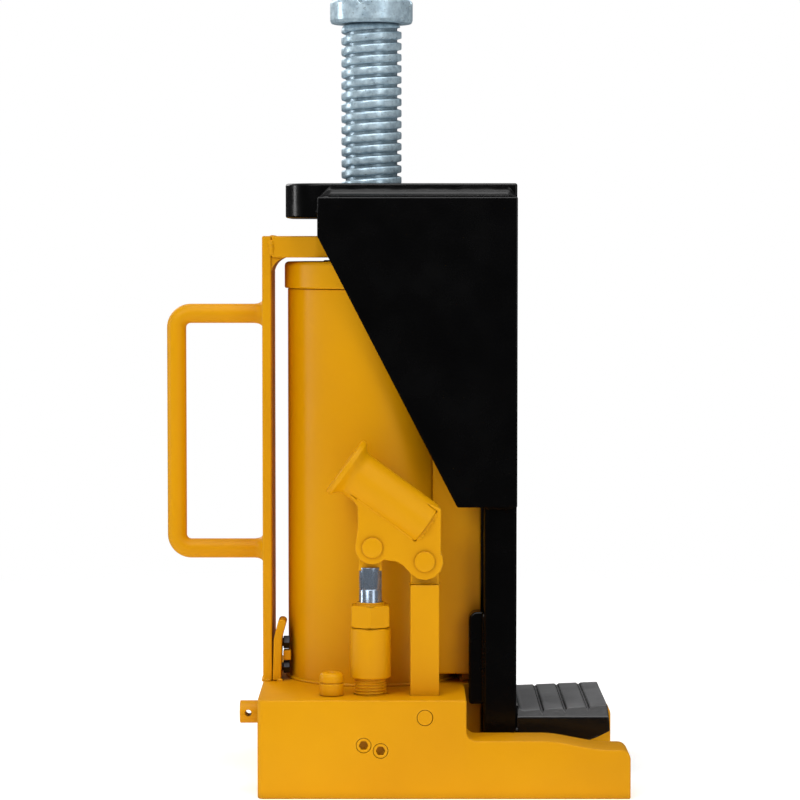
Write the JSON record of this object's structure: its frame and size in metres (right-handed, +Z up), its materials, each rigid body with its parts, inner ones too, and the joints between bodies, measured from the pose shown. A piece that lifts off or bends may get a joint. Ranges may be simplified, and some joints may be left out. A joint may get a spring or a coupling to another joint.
{
  "type": "hydraulic toe jack",
  "caption": "Hydraulic toe jack: lever pump, vertical ram and a carriage that lifts on a low toe, its head plate or a threaded extension screw.",
  "frame": {"origin": "on the underside of the base, on the common axis of cylinder, ram and extension screw", "axes": "+Z up along the ram, +X towards the toe, -Y towards the pump and its lever"},
  "size_m": [0.2867, 0.192, 0.489],
  "materials": {
    "yellow_paint": "satin gloss enamel on cast and welded steel",
    "black_paint": "gloss black enamel, worn to grey on the toe",
    "zinc_plate": "bright zinc plating on a rolled thread",
    "chrome_plate": "ground and hard chromed",
    "plain_steel": "honed steel, oiled",
    "dark_steel": "blackened steel",
    "seal_rubber": "oil-resistant seal rubber",
    "bronze": "turned bearing bronze"
  },
  "bodies": {
    "base": {"base_block": "yellow_paint", "reservoir_tube": "yellow_paint", "reservoir_cap": "yellow_paint", "pressure_cylinder": "plain_steel", "cylinder_gasket": "bronze", "gland_bush": "bronze", "wiper_seal": "seal_rubber", "front_guide": "yellow_paint", "rear_bar": "yellow_paint", "top_arm": "yellow_paint", "carry_handle": "yellow_paint", "rear_clip": "yellow_paint", "clip_spacer": "yellow_paint", "clip_bolt_upper": "dark_steel", "clip_bolt_lower": "dark_steel", "filler_plug": "yellow_paint", "relief_plug": "yellow_paint", "relief_spring": "plain_steel", "relief_ball": "chrome_plate", "check_plug": "yellow_paint", "check_spring": "plain_steel", "check_ball": "chrome_plate", "pump_body": "yellow_paint", "pump_gland": "yellow_paint", "pump_seal": "seal_rubber", "lever_post": "yellow_paint", "post_pin": "yellow_paint"},
    "carriage": {"ram": "chrome_plate", "piston_seal": "seal_rubber", "piston_ring": "bronze", "head_plate": "black_paint", "gusset_right": "black_paint", "gusset_left": "black_paint", "back_bar": "black_paint", "guide_cheek_right": "black_paint", "guide_cheek_left": "black_paint", "toe": "black_paint"},
    "screw_stop": {"stop_washer": "plain_steel", "stop_bolt": "dark_steel"},
    "screw": {"extension_screw": "zinc_plate"},
    "lever": {"lever_plate_right": "yellow_paint", "lever_plate_left": "yellow_paint", "handle_socket": "yellow_paint", "pivot_pin": "yellow_paint", "plunger_pin": "yellow_paint"},
    "plunger": {"pump_plunger": "chrome_plate"},
    "release_valve": {"release_spindle": "yellow_paint"}
  },
  "joints": [
    {"name": "lift", "type": "slide", "parent": "base", "child": "carriage", "axis": [0, 0, 1], "range_m": [0, 0.18]},
    {"name": "screw_travel", "type": "slide", "parent": "carriage", "child": "screw_stop", "axis": [0, 0, 1], "range_m": [-0.1012, 0]},
    {"name": "screw_turn", "type": "hinge", "parent": "screw_stop", "child": "screw", "pos_m": [0, 0, 0.4], "axis": [0, 0, 1], "range_deg": [-5190, 0]},
    {"name": "lever_pump", "type": "hinge", "parent": "base", "child": "lever", "pos_m": [0.033, -0.08, 0.142], "axis": [0, 1, 0], "range_deg": [-30, 15]},
    {"name": "plunger_stroke", "type": "slide", "parent": "base", "child": "plunger", "axis": [0, 0, 1], "range_m": [-0.0172, 0.0086]},
    {"name": "release_turn", "type": "hinge", "parent": "base", "child": "release_valve", "pos_m": [-0.075, -0.08, 0.049], "axis": [-1, 0, 0], "range_deg": [0, 180]}
  ],
  "couplings": [
    {"joint": "screw_travel", "follows": "screw_turn", "m_per_rad": 0.0011141},
    {"joint": "plunger_stroke", "follows": "lever_pump", "m_per_rad": 0.0322}
  ]
}
